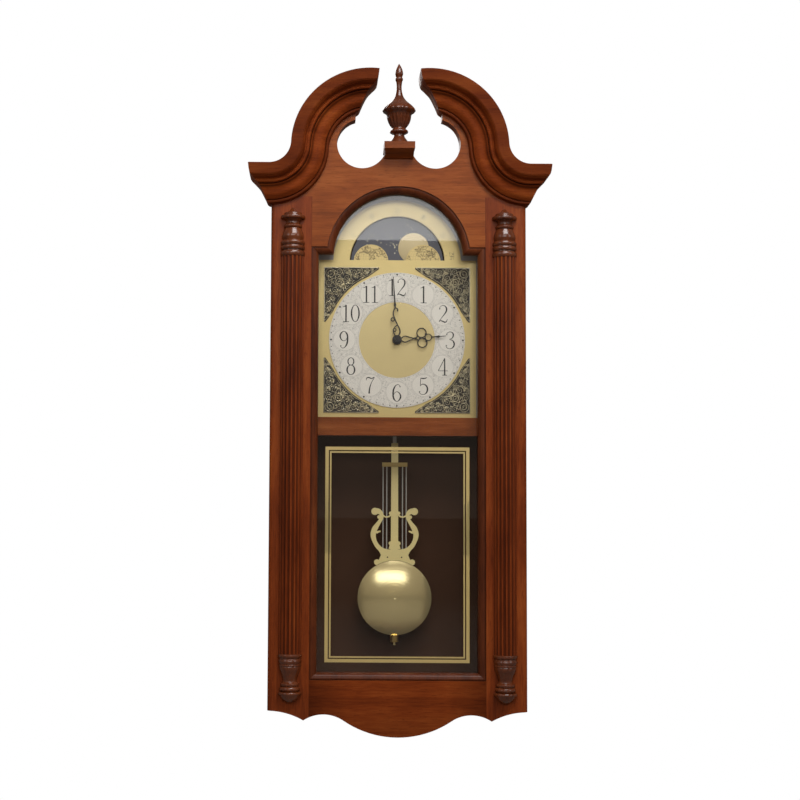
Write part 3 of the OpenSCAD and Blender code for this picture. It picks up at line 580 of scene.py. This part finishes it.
finishes = {
    "dialGold": dialGold(),
    "printedGold": metal("printedGold", (0.66, 0.49, 0.19), 0.42, None, depth=0.1, level=0.1),
    "ringSilver": ringSilver(),
    "spunGold": metal("spunGold", (0.75, 0.60, 0.295), 0.26, "rings", dialCentre, 0.45, level=0.3),
    "polishedBrass": metal("polishedBrass", (0.88, 0.73, 0.38), 0.19, "rings", middle("bob_front"), 0.04,
                           0.05, level=0.7),
    "satinBrass": metal("satinBrass", (0.70, 0.50, 0.19), 0.3, "z", depth=0.15),
    "lyreBrass": metal("lyreBrass", (0.92, 0.76, 0.35), 0.36, "z", depth=0.15, level=0.15),
    "darkBrass": metal("darkBrass", (0.50, 0.35, 0.12), 0.36, "x", depth=0.15, level=0.4),
    "zincSteel": metal("zincSteel", (0.62, 0.62, 0.60), 0.34, None, depth=0.1, level=0.8),
    "drawnSteel": metal("drawnSteel", (0.72, 0.68, 0.62), 0.25, "z", depth=0.1, level=0.4),
    "oldGold": metal("oldGold", (0.95, 0.86, 0.62), 0.22, None, depth=0.2, tint=0.3, level=0.7),
    "patina": plain("patina", (0.012, 0.009, 0.006), 0.6, 900, 0.3),
    "handBlack": plain("handBlack", (0.012, 0.011, 0.011), 0.32, 900, 0.1),
    "blackPlastic": plain("blackPlastic", (0.014, 0.014, 0.015), 0.5, 1800, 0.3),
    "palePlastic": plain("palePlastic", (0.62, 0.58, 0.47), 0.45, 1800, 0.15),
    "panelBrown": plain("panelBrown", (0.070, 0.028, 0.012), 0.7, 260, 0.25, **{"Specular IOR Level": 0.2}),
    "magnet": plain("magnet", (0.03, 0.03, 0.032), 0.55, 700, 0.3),
    "batteryWrap": plain("batteryWrap", (0.55, 0.30, 0.06), 0.3, 300, 0.05, metal=0.6),
    "nightSky": nightSky(),
    "engravedMap": engravedMap(),
    "paleMoon": metal("paleMoon", (0.60, 0.48, 0.27), 0.42, None, depth=0.15, level=0.3),
    "starWhite": plain("starWhite", (0.85, 0.78, 0.52), 0.4, 900, 0.05),
}
woods = {                     # node: tone, grain axis, seed, hollow, lacquer
    "left_stile": ("cherry", "z", 1, stileGlaze("left_stile"), "satin"),
    "right_stile": ("cherry", "z", 2, stileGlaze("right_stile"), "satin"),
    "pediment_board": ("board", "x", 3, boardGlaze, "satin"),
    "apron_rail": ("cherry", "x", 4, apronGlaze, "rubbed"),
    "sight_moulding": ("deep", "z", 5, None, "moulded"),
    "glass_retainers": ("shade", "z", 6, None, "satin"),
    "left_column": ("cherry", "z", 7, fluteGlaze("left_column"), "moulded"),
    "right_column": ("cherry", "z", 8, fluteGlaze("right_column"), "moulded"),
    "column_capitals": ("deep", "z", 9, None, "polished"),
    "column_bases": ("deep", "z", 10, None, "polished"),
    "left_swan_neck": ("cherry", "x", 11, neckGlaze, "rubbed"),
    "right_swan_neck": ("cherry", "x", 12, neckGlaze, "rubbed"),
    "finial_block": ("board", "x", 13, None, "satin"),
    "finial": ("deep", "z", 14, None, "polished"),
    "left_side_panel": ("deep", "z", 15, None, "satin"),
    "right_side_panel": ("deep", "z", 16, None, "satin"),
    "case_top": ("deep", "x", 17, None, "satin"),
    "case_bottom": ("deep", "x", 18, None, "satin"),
    "dial_battens": ("shade", "z", 19, None, "satin"),
    # painted light: the dial rail takes the lighter board tone to stand for a reflection, though it sits in
    # shadow behind the glass
    "dial_rail": ("board", "x", 20, None, "satin"),
}
metalsAndPlastics = {
    "dialGold": ["dial_plate"],
    "ringSilver": ["chapter_ring"],
    "spunGold": ["centre_disc"],
    "polishedBrass": ["bob_front", "bob_back"],
    "satinBrass": ["rating_nut", "hinge_leaves_case", "hinge_pins", "hinge_leaves_door", "movement_nut",
                   "hour_pipe", "moon_arbor", "dial_screws", "case_screws"],
    "lyreBrass": ["lyre_plate", "pendulum_rod"],
    "darkBrass": ["pendulum_crossbar"],
    "zincSteel": ["hanger_plate", "strike_plate", "pendulum_leader"],
    "drawnSteel": ["lyre_strings", "minute_arbor"],
    "patina": ["spandrels"],
    "handBlack": ["minute_hand", "hour_hand", "hand_nut"],
    "blackPlastic": ["movement_case", "speaker"],
    "palePlastic": ["set_knob", "chime_selector", "volume_knob"],
    "panelBrown": ["back_panel", "access_cover"],
    "magnet": ["catch_magnet"],
    "batteryWrap": ["batteries"],
    "nightSky": ["moon_disc"],
}


def coat(node, material):
    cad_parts[node].data.materials.clear()
    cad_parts[node].data.materials.append(material)


woodFinishes = {node: wood(node + "Wood", *how) for node, how in woods.items()}
for node, finish in woodFinishes.items():
    coat(node, finish.material)
for name, members in metalsAndPlastics.items():
    for node in members:
        coat(node, finishes[name].material)
coat("door_glass", clearGlass().material)
print("the packed nodes are finished")

thin, full = 0.021, 0.050     # half widths of the figures' strokes, for a figure one unit high


def oval(x, z, wide, high, heavy=full):     # its sides are heavy, its top and bottom thin
    points = []
    for i in range(33):
        a = math.tau * i / 32
        half = thin + (heavy - thin) * math.cos(a) ** 2
        points.append((x + wide * math.cos(a), z + high * math.sin(a), half))
    return points


six = [(0.42, 0.83, 0.05), (0.42, 0.90, 0.02), (0.33, 0.98, 0.017), (0.21, 0.93, 0.026), (0.10, 0.74, full),
       (0.06, 0.44, 0.05), (0.10, 0.17, full), (0.25, 0.015, 0.017), (0.40, 0.12, 0.04), (0.46, 0.30, 0.048),
       (0.40, 0.48, 0.034), (0.27, 0.57, 0.018), (0.14, 0.50, 0.017), (0.08, 0.36, 0.02)]
# Each figure: its width, then its strokes, whose points are (across, up, half width)
figures = {
    "0": (0.54, [oval(0.27, 0.5, 0.20, 0.48)]),
    "1": (0.44, [[(0.22, 0.02, 0.042), (0.22, 0.98, 0.042)], [(0.06, 0.015, thin), (0.38, 0.015, thin)],
                 [(0.22, 0.97, 0.03), (0.15, 0.90, thin), (0.06, 0.87, thin)]]),
    "2": (0.52, [[(0.10, 0.76, 0.05), (0.09, 0.85, 0.02), (0.16, 0.95, 0.017), (0.27, 0.985, 0.02),
                  (0.40, 0.92, 0.036), (0.45, 0.77, 0.048), (0.41, 0.60, 0.042), (0.29, 0.42, 0.028),
                  (0.15, 0.22, 0.018), (0.05, 0.06, thin)],
                 [(0.05, 0.05, thin), (0.13, 0.11, 0.028), (0.25, 0.07, 0.04), (0.36, 0.02, 0.042),
                  (0.45, 0.07, 0.028), (0.49, 0.20, 0.014)]]),
    "3": (0.52, [[(0.09, 0.80, 0.048), (0.09, 0.88, 0.02), (0.17, 0.96, 0.017), (0.27, 0.985, 0.02),
                  (0.39, 0.93, 0.034), (0.43, 0.79, 0.044), (0.37, 0.63, 0.028), (0.23, 0.55, 0.015),
                  (0.38, 0.50, 0.03), (0.47, 0.34, 0.048), (0.46, 0.18, 0.046), (0.36, 0.05, 0.03),
                  (0.24, 0.015, 0.017), (0.10, 0.06, 0.018), (0.05, 0.15, 0.022), (0.07, 0.22, 0.048)]]),
    "4": (0.54, [[(0.36, 0.02, 0.042), (0.36, 0.99, 0.03)],
                 [(0.36, 0.98, thin), (0.19, 0.62, thin), (0.02, 0.27, thin)],
                 [(0.02, 0.265, 0.018), (0.52, 0.265, 0.018)], [(0.24, 0.015, thin), (0.48, 0.015, thin)]]),
    "5": (0.52, [[(0.12, 0.97, thin), (0.10, 0.75, thin), (0.09, 0.50, thin)],
                 [(0.12, 0.95, 0.028), (0.25, 0.93, 0.038), (0.38, 0.955, 0.028), (0.45, 0.99, 0.012)],
                 [(0.09, 0.50, thin), (0.17, 0.59, 0.02), (0.29, 0.60, 0.03), (0.42, 0.50, 0.044),
                  (0.47, 0.32, 0.05), (0.42, 0.13, 0.042), (0.28, 0.015, 0.02), (0.13, 0.04, 0.018),
                  (0.05, 0.13, 0.022), (0.07, 0.20, 0.048)]]),
    "6": (0.52, [six]),
    "7": (0.50, [[(0.04, 0.80, 0.012), (0.06, 0.93, 0.028), (0.18, 0.965, 0.038), (0.32, 0.91, 0.034),
                  (0.46, 0.975, thin), (0.33, 0.72, 0.02), (0.24, 0.45, 0.034), (0.20, 0.20, 0.048),
                  (0.20, 0.05, 0.052)]]),
    "8": (0.52, [oval(0.26, 0.77, 0.155, 0.21, 0.036), oval(0.26, 0.29, 0.20, 0.275, full)]),
    "9": (0.52, [[(0.52 - x, 1 - z, w) for x, z, w in six]]),
    "h": (0.60, [[(0.10, 0.62, 0.03), (0.10, 0.98, 0.03)], [(0.0, 0.1, thin), (0.5, 0.9, thin)],
                 [(0.30, 0.30, 0.03), (0.40, 0.38, 0.02), (0.48, 0.30, 0.03), (0.32, 0.04, thin),
                  (0.52, 0.04, 0.03)]]),
}


# Strokes of a number, centred on (x, z), turned by an angle clockwise from upright
def numberStrokes(text, x, z, height, turned=0.0, narrow=1.08):
    width = sum(figures[c][0] for c in text) * narrow
    strokes, start = [], -width / 2
    for c in text:
        for stroke in figures[c][1]:
            smoothed = flowing(stroke, 5) if len(stroke) > 2 else stroke
            placed = []
            for px, pz, half in smoothed:
                u, v = (start + px * narrow) * height, (pz - 0.5) * height
                placed.append((x + u * math.cos(turned) + v * math.sin(turned),
                               z - u * math.sin(turned) + v * math.cos(turned), half * height))
            strokes.append(placed)
        start += figures[c][0] * narrow
    return strokes


hourFigures = {"height": 23.2 * mm, "radius": 70.4 * mm, "relief": 0.16 * mm}


def makeHourFigures():
    strokes = []
    for hour in range(1, 13):
        a = math.tau * hour / 12
        strokes += numberStrokes(str(hour), dialCentre.x + hourFigures["radius"] * math.sin(a),
                                 dialCentre.z + hourFigures["radius"] * math.cos(a), hourFigures["height"])
    piece = drawn("hour_figures", strokes, ringFront, hourFigures["relief"])
    dress(piece, "case", finishes["handBlack"])


minuteMarks = {"radius": 87.4 * mm, "small": 0.7 * mm, "large": 1.5 * mm, "thick": 0.12 * mm}


def makeMinuteMarks():
    marks = []
    for minute in range(60):
        size = minuteMarks["large"] if minute % 5 == 0 else minuteMarks["small"]
        deselect()
        bpy.ops.mesh.primitive_cylinder_add(vertices=8 if minute % 5 else 4, radius=size,
                                            depth=minuteMarks["thick"], rotation=(math.pi / 2, 0, 0))
        mark = newest("mark")
        settle(mark)
        a = math.tau * minute / 60
        mark.data.transform(Matrix.Translation(Vector((dialCentre.x, ringFront, dialCentre.z)))
                            @ Matrix.Rotation(a, 4, "Y") @ Matrix.Translation((0, 0, minuteMarks["radius"])))
        marks.append(mark)
    piece = joined("minute_marks", marks)
    dress(piece, "case", finishes["handBlack"])


# Cast scrollwork in one corner: u and v, in millimetres, run from the middle of the dial towards that corner
scrollwork = {
    "relief": 0.8 * mm, "wire": 0.5, "rimRadius": 94.2, "edge": 96.4, "tip": 24.8, "rimFrom": 35.4,
    "taperEdge": 95.5, "taperTip": 23, "taperSlope": 0.7, "curlTurns": 1.7, "leaves": 7,
    # centre u, centre v, radius, turned from, way round
    "scrolls": [(88.6, 88.6, 6.8, 0.8, 1), (77.2, 77.2, 5.6, 3.9, -1), (91.2, 76.6, 4.9, 2.2, 1),
                (83.2, 66.4, 5.4, 0.2, -1), (92.6, 66.4, 3.3, 3.4, 1), (90.0, 57.4, 4.6, 1.4, 1),
                (85.4, 54.6, 2.6, 5.0, -1), (92.0, 47.6, 3.7, 4.2, -1), (93.0, 39.8, 2.8, 2.6, 1),
                (94.3, 33.4, 1.7, 0.6, -1), (71.6, 70.2, 3.9, 5.3, 1), (77.4, 62.2, 3.6, 1.1, 1),
                (84.4, 46.6, 2.6, 3.1, 1), (89.6, 41.4, 2.2, 0.4, -1), (90.6, 32.6, 1.5, 2.2, 1)],
}


def insideCorner(u, v):       # clear of the border and of the spandrel's tapering tips
    taper = scrollwork["taperEdge"] - scrollwork["taperSlope"] * (min(u, v) - scrollwork["taperTip"])
    return (taper < max(u, v) < scrollwork["edge"] and min(u, v) > scrollwork["tip"]
            and math.hypot(u, v) > scrollwork["rimRadius"] + 0.4)


def cornerStrokes():
    wire = scrollwork["wire"]
    runs = []
    for u, v, radius, begin, way in scrollwork["scrolls"]:
        curl = []
        for i in range(27):
            t = i / 26
            reach = radius * (1 - 0.84 * t)
            a = begin + way * t * math.tau * scrollwork["curlTurns"]
            curl.append((u + reach * math.cos(a), v + reach * math.sin(a), wire * (1.25 - 0.75 * t)))
        curl.append((u, v, wire * 1.5))
        runs.append(curl)
        for k in range(scrollwork["leaves"]):       # acanthus leaves springing from the curl
            a = begin + k * math.tau / scrollwork["leaves"]
            leaf = []
            for t, wide in ((0, 0.4), (0.35, 1.15), (0.7, 0.9), (1, 0.2)):
                reach = radius * (0.98 + 0.48 * t)
                b = a + way * t * 0.5
                leaf.append((u + reach * math.cos(b), v + reach * math.sin(b), wire * wide))
            if insideCorner(*leaf[-1][:2]) and insideCorner(*leaf[1][:2]):
                runs.append(flowing(leaf, 3))
    mirrored = [[(v, u, w) for u, v, w in run] for run in runs]
    edge, tip, rim = scrollwork["edge"], scrollwork["tip"], scrollwork["rimRadius"]
    border = [(edge, tip, 0.55), (edge, edge, 0.55), (tip, edge, 0.55)]
    first, last = math.asin(scrollwork["rimFrom"] / rim), math.acos(scrollwork["rimFrom"] / rim)
    arc = []
    for i in range(61):
        a = first + (last - first) * i / 60
        reach = rim + 0.7 * abs(math.sin(a * 22))
        arc.append((reach * math.cos(a), reach * math.sin(a), 0.5))
    return runs + mirrored + [border, [(edge, tip, 0.5), (arc[0][0], arc[0][1], 0.5)],
                              [(tip, edge, 0.5), (arc[-1][0], arc[-1][1], 0.5)], arc]


def makeSpandrelScrolls():
    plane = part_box("spandrels")[0].y
    for name, sideways, upwards in (("upper_right", 1, 1), ("upper_left", -1, 1),
                                    ("lower_left", -1, -1), ("lower_right", 1, -1)):
        strokes = [[(dialCentre.x + sideways * u * mm, dialCentre.z + upwards * v * mm, w * mm)
                    for u, v, w in run] for run in cornerStrokes()]
        piece = drawn("spandrel_scrolls_" + name, strokes, plane, scrollwork["relief"])
        dress(piece, "case", finishes["oldGold"])


def lathe(name, profile, foot, steps):      # profile: (radius, height) from the foot up
    deselect()
    bpy.ops.mesh.primitive_plane_add(size=1 * mm, location=foot)
    piece = newest(name)
    settle(piece)
    bpy.ops.object.mode_set(mode="EDIT")
    bpy.ops.mesh.select_all(action="SELECT")
    bpy.ops.mesh.merge(type="CENTER")
    last = (0, 0)
    for radius, height in profile:
        step = (radius - last[0], 0, height - last[1])
        bpy.ops.mesh.extrude_region_move(TRANSFORM_OT_translate={"value": step})
        last = (radius, height)
    bpy.ops.mesh.select_all(action="SELECT")
    bpy.ops.mesh.spin(steps=steps, angle=math.tau, center=foot, axis=(0, 0, 1))
    bpy.ops.object.mode_set(mode="OBJECT")
    outwards(piece)
    softened(piece, 40)
    return piece


# Radius and height in millimetres, from the foot on the block to the point
finial = {
    "foot": [(13.4, 0), (13.2, 1.6), (11.2, 5), (8, 9.6), (7.1, 12.6), (7.4, 13.9)],
    "collar": [(9.6, 14.6), (11.8, 16.0), (12.1, 17.3), (11.6, 18.6), (9.4, 20.2)],
    "cup": [(8.9, 21.8), (10.6, 24), (13.6, 28.4), (15.6, 34.4), (16.4, 39.6), (18.6, 42.2)],
    "brim": [(21.3, 43.9), (22.0, 45.4), (21.4, 47.0), (20.2, 48.6)],
    "steeple": [(16.4, 52.6), (10.8, 57.4), (6.2, 63.4), (3.9, 71), (3.4, 78), (4.2, 84.8)],
    "bead": [(4.9, 86.0), (5.1, 87.4), (4.9, 88.8), (4.0, 90.2)],
    "flame": [(5.0, 93.2), (5.3, 95.4), (4.4, 100.2), (2.2, 105.2), (0, 108.8)],
    "flutes": 18, "fluteDepth": 1.5, "scallop": 1.1, "steps": 108,
}


def makeFinial():
    low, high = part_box("finial")
    profile = []
    for part in ("foot", "collar", "cup", "brim", "steeple", "bead", "flame"):
        profile += flowing(finial[part], 3 if len(finial[part]) > 5 else 4)
    foot = Vector(((low.x + high.x) / 2, (low.y + high.y) / 2, low.z))
    piece = lathe("fluted_finial", [(r * mm, h * mm) for r, h in profile], foot, finial["steps"])
    cupLow, cupHigh = finial["cup"][0][1] * mm, finial["cup"][-1][1] * mm
    brimHigh = finial["brim"][-1][1] * mm
    for vertex in piece.data.vertices:
        spoke = Vector((vertex.co.x - foot.x, vertex.co.y - foot.y, 0))
        height = vertex.co.z - foot.z
        wave = abs(math.cos(math.atan2(spoke.y, spoke.x) * finial["flutes"] / 2))
        if cupLow < height < cupHigh:
            share = math.sin(math.pi * ((height - cupLow) / (cupHigh - cupLow)) ** 0.7)
            vertex.co -= spoke.normalized() * (1 - wave) * share * finial["fluteDepth"] * mm
        elif cupHigh <= height < brimHigh:
            vertex.co -= spoke.normalized() * (1 - wave) * finial["scallop"] * mm
    dress(piece, "door", woodFinishes["finial"])
    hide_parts("finial")


makeFinial()
print("the finial is made")
makeHourFigures()
makeMinuteMarks()
makeSpandrelScrolls()
print("dial figures and spandrels are made")


def onArch(degrees, radius):          # place on the arch, degrees clockwise from the top
    a = math.radians(degrees)
    return moonCentre.x + radius * math.sin(a), moonCentre.z + radius * math.cos(a)


def arcStroke(x, z, radius, half, above):     # the part of a circle that is higher than above
    run = []
    for i in range(97):
        a = math.tau * i / 96 - math.pi / 2
        point = (x + radius * math.cos(a), z + radius * math.sin(a), half)
        if point[1] > above:
            run.append(point)
    return run


def makeMoonRims():
    sky = moonArch["skyRadius"] + 0.5 * mm
    runs = [arcStroke(moonCentre.x, moonCentre.z, sky, 0.5 * mm, flatZ)]
    for side in (-1, 1):
        hump = moonArch["humpRadius"] - 0.7 * mm
        runs.append(arcStroke(side * moonArch["humpX"], humpZ, hump, 0.45 * mm, flatZ))
    piece = drawn("moon_arch_rims", runs, plateFront, 0.2 * mm)
    dress(piece, "case", finishes["printedGold"])


def makeLunarScale():
    runs = []
    for day in (5, 10, 15, 20, 25):
        degrees = (day - 15) * moonArch["degreesPerDay"]
        x, z = onArch(degrees, moonArch["numeralRadius"])
        runs += numberStrokes(str(day), x, z, moonArch["numeralHeight"], math.radians(degrees))
    x, z = onArch(moonArch["monthEnd"] * moonArch["degreesPerDay"], moonArch["numeralRadius"] + 2 * mm)
    runs += numberStrokes("29h", x, z, moonArch["numeralHeight"], math.radians(moonArch["monthTurn"]))
    for day in range(1, 30):
        degrees = (day - 15) * moonArch["degreesPerDay"]
        long = 0.9 if day % 5 == 0 else 0.4
        start = onArch(degrees, moonArch["dayRadius"] - long * mm)
        end = onArch(degrees, moonArch["dayRadius"] + long * mm)
        runs.append([(*start, 0.32 * mm), (*end, 0.16 * mm)])
    piece = drawn("lunar_day_scale", runs, plateFront, 0.12 * mm)
    dress(piece, "case", finishes["handBlack"])


def makeHemispheres():
    for name, side in (("west", -1), ("east", 1)):
        radius = moonArch["humpRadius"] - moonArch["mapRim"]
        place = (side * moonArch["humpX"], plateFront, humpZ)
        deselect()
        bpy.ops.mesh.primitive_cylinder_add(vertices=96, radius=radius, depth=moonArch["mapFilm"],
                                            location=place, rotation=(math.pi / 2, 0, 0))
        piece = newest("hemisphere_" + name)
        settle(piece)
        bpy.ops.object.mode_set(mode="EDIT")
        bpy.ops.mesh.select_all(action="SELECT")
        bpy.ops.mesh.bisect(plane_co=(0, 0, flatZ + 0.2 * mm), plane_no=(0, 0, -1), clear_outer=True,
                            use_fill=True)
        bpy.ops.object.mode_set(mode="OBJECT")
        applied(piece, "BEVEL", width=0.05 * mm, segments=2)
        dress(piece, "case", finishes["engravedMap"])


def makeMoons():
    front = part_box("moon_disc")[0].y
    for number, side in ((1, 1), (2, -1)):
        place = (moonCentre.x + side * moonArch["moonX"], front, moonCentre.z + side * moonArch["moonZ"])
        deselect()
        bpy.ops.mesh.primitive_cylinder_add(vertices=96, radius=moonArch["moonRadius"], depth=0.5 * mm,
                                            location=place, rotation=(math.pi / 2, 0, 0))
        moon = newest(f"painted_moon_{number}")
        settle(moon)
        applied(moon, "BEVEL", width=0.2 * mm, segments=3, limit_method="ANGLE")
        softened(moon)
        dress(moon, "moon", finishes["paleMoon"])


starField = {"seed": 11, "count": 120, "reach": (14, 58), "clearOfArbor": 12 * mm, "clearOfRim": 59.5 * mm,
             "step": (3.2, 6.0), "size": (0.42, 0.85)}


def makeStars():
    chance = random.Random(starField["seed"])
    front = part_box("moon_disc")[0].y
    moons = [Vector((side * moonArch["moonX"], side * moonArch["moonZ"])) for side in (-1, 1)]
    places = []
    while len(places) < starField["count"]:         # short chains, as in constellations
        reach, a = chance.uniform(*starField["reach"]) * mm, chance.uniform(0, math.tau)
        star = Vector((reach * math.cos(a), reach * math.sin(a)))
        heading = chance.uniform(0, math.tau)
        for _ in range(chance.randint(2, 5)):
            clear = all((star - m).length > moonArch["moonRadius"] + 1.6 * mm for m in moons)
            if clear and starField["clearOfArbor"] < star.length < starField["clearOfRim"]:
                places.append(star.copy())
            heading += chance.uniform(-0.9, 0.9)
            star += Vector((math.cos(heading), math.sin(heading))) * chance.uniform(*starField["step"]) * mm
    stars = []
    for star in places:
        place = (moonCentre.x + star.x, front, moonCentre.z + star.y)
        radius = chance.uniform(*starField["size"]) * mm
        deselect()
        bpy.ops.mesh.primitive_uv_sphere_add(segments=8, ring_count=4, radius=radius, location=place,
                                             rotation=(math.pi / 2, 0, 0))
        dot = newest("star")
        dot.scale.z = 0.25
        settle(dot)
        stars.append(dot)
    dress(joined("stars", stars), "moon", finishes["starWhite"])


makeMoonRims()
makeLunarScale()
makeHemispheres()
makeMoons()
makeStars()
print("the moon arch is made")

glassBorder = {"side": 19 * mm, "bottom": 20.9 * mm, "height": 279 * mm, "film": 0.06 * mm,
               "lines": {"outer": (0, 4.3 * mm), "inner": (5.9 * mm, 2.0 * mm)}}


def makeGlassBorder():
    low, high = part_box("door_glass")
    for name, (inset, width) in glassBorder["lines"].items():
        left, right = low.x + glassBorder["side"] + inset, high.x - glassBorder["side"] - inset
        bottom = low.z + glassBorder["bottom"] + inset
        top = low.z + glassBorder["bottom"] + glassBorder["height"] - inset
        deselect()
        bpy.ops.mesh.primitive_plane_add(size=1, rotation=(math.pi / 2, 0, 0),
                                         location=((left + right) / 2, high.y, (bottom + top) / 2))
        piece = newest("glass_border_" + name)
        piece.scale = (right - left, top - bottom, 1)
        settle(piece)
        bpy.ops.object.mode_set(mode="EDIT")
        bpy.ops.mesh.select_all(action="SELECT")
        bpy.ops.mesh.inset(thickness=width)
        bpy.ops.mesh.delete(type="FACE")
        bpy.ops.object.mode_set(mode="OBJECT")
        applied(piece, "SOLIDIFY", thickness=glassBorder["film"], offset=-1)
        outwards(piece)
        dress(piece, "door", finishes["printedGold"])


makeGlassBorder()
print("the glass border is made")
